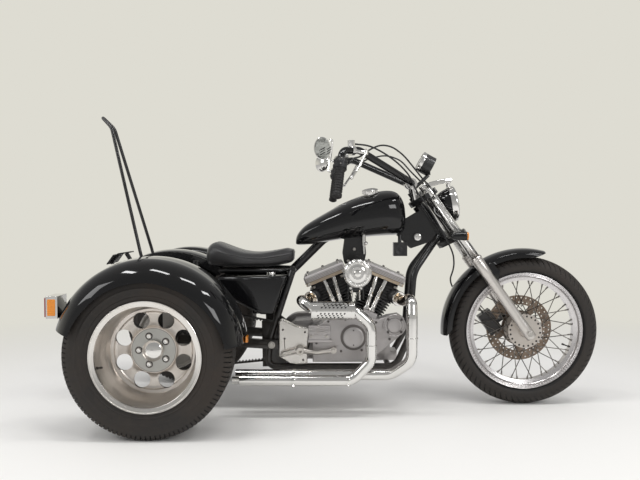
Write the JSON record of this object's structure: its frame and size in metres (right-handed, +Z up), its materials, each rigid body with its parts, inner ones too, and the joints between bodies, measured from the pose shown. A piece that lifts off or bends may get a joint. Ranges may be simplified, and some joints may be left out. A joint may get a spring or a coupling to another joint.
{
  "type": "motorized trike",
  "caption": "V-twin motorcycle converted to three wheels, with a raked fork, wide rear wheels under rounded fenders and a tall sissy bar.",
  "frame": {"origin": "on the ground, midway along, across and under the machine", "axes": "+X forward, +Y to the machine's left, +Z up"},
  "size_m": [2.2473, 1.202, 1.2623],
  "materials": {
    "black_paint": "gloss black paint",
    "satin_black": "satin black powder coat",
    "chrome": "polished chrome",
    "cast_alloy": "satin silver cast alloy",
    "wheel_alloy": "brushed alloy",
    "steel": "ground steel",
    "tyre": "black tyre rubber",
    "rubber": "black rubber",
    "seat_leather": "black seat cover",
    "black_plastic": "black plastic",
    "clear_glass": "clear glass",
    "red_lens": "red lens"
  },
  "bodies": {
    "chassis": {"air_cleaner": "chrome", "axle_housing": "satin_black", "battery": "black_plastic", "carburettor": "satin_black", "centre_fender": "black_paint", "cylinders": "satin_black", "drive_belt": "rubber", "drive_pulleys": "satin_black", "engine_cases": "cast_alloy", "exhaust_pipes": "chrome", "filler_caps": "chrome", "foot_controls": "satin_black", "fuel_tank": "black_paint", "gearcase_cover": "cast_alloy", "heat_shield": "chrome", "horn_and_switch": "satin_black", "lamp_lenses": "red_lens", "left_fender": "black_paint", "main_frame": "satin_black", "oil_tank": "black_paint", "plate_bracket": "satin_black", "primary_cover": "cast_alloy", "pushrod_tubes": "chrome", "right_fender": "black_paint", "rocker_covers": "cast_alloy", "seat": "seat_leather", "shock_absorbers": "satin_black", "side_cover": "black_paint", "sissy_bar": "satin_black", "sprocket_cover": "cast_alloy", "swingarm": "satin_black", "tail_lamps": "chrome"},
    "front_wheel": {"front_tyre": "tyre", "front_rim": "chrome", "front_hub": "wheel_alloy", "front_brake_disc": "steel", "front_spokes": "chrome"},
    "rear_wheel_right": {"right_tyre": "tyre", "right_wheel": "wheel_alloy", "right_hub": "chrome"},
    "rear_wheel_left": {"left_tyre": "tyre", "left_wheel": "wheel_alloy", "left_hub": "chrome"},
    "fork": {"fork_clamps": "satin_black", "fork_tubes": "chrome", "fork_sliders": "wheel_alloy", "front_fender": "black_paint", "brake_caliper": "satin_black", "handlebar": "black_paint", "risers_and_lamp_bracket": "chrome", "hand_grips": "rubber", "hand_controls": "satin_black", "hand_levers": "chrome", "mirrors": "chrome", "speedometer": "black_plastic", "headlamp_shell": "black_paint", "headlamp_lens": "clear_glass", "front_signals": "black_paint", "control_cables": "rubber"}
  },
  "joints": [
    {"name": "steering", "type": "hinge", "parent": "chassis", "child": "fork", "pos_m": [0.38646, 0, 0.80051], "axis": [-0.5793, 0, 0.8151], "range_deg": [-32, 32]},
    {"name": "front_wheel_spin", "type": "hinge", "parent": "fork", "child": "front_wheel", "pos_m": [0.798, 0, 0.325], "axis": [0, 1, 0], "continuous": true},
    {"name": "right_wheel_spin", "type": "hinge", "parent": "chassis", "child": "rear_wheel_right", "pos_m": [-0.737, -0.46, 0.313], "axis": [0, 1, 0], "continuous": true},
    {"name": "left_wheel_spin", "type": "hinge", "parent": "chassis", "child": "rear_wheel_left", "pos_m": [-0.737, 0.46, 0.313], "axis": [0, 1, 0], "continuous": true}
  ]
}
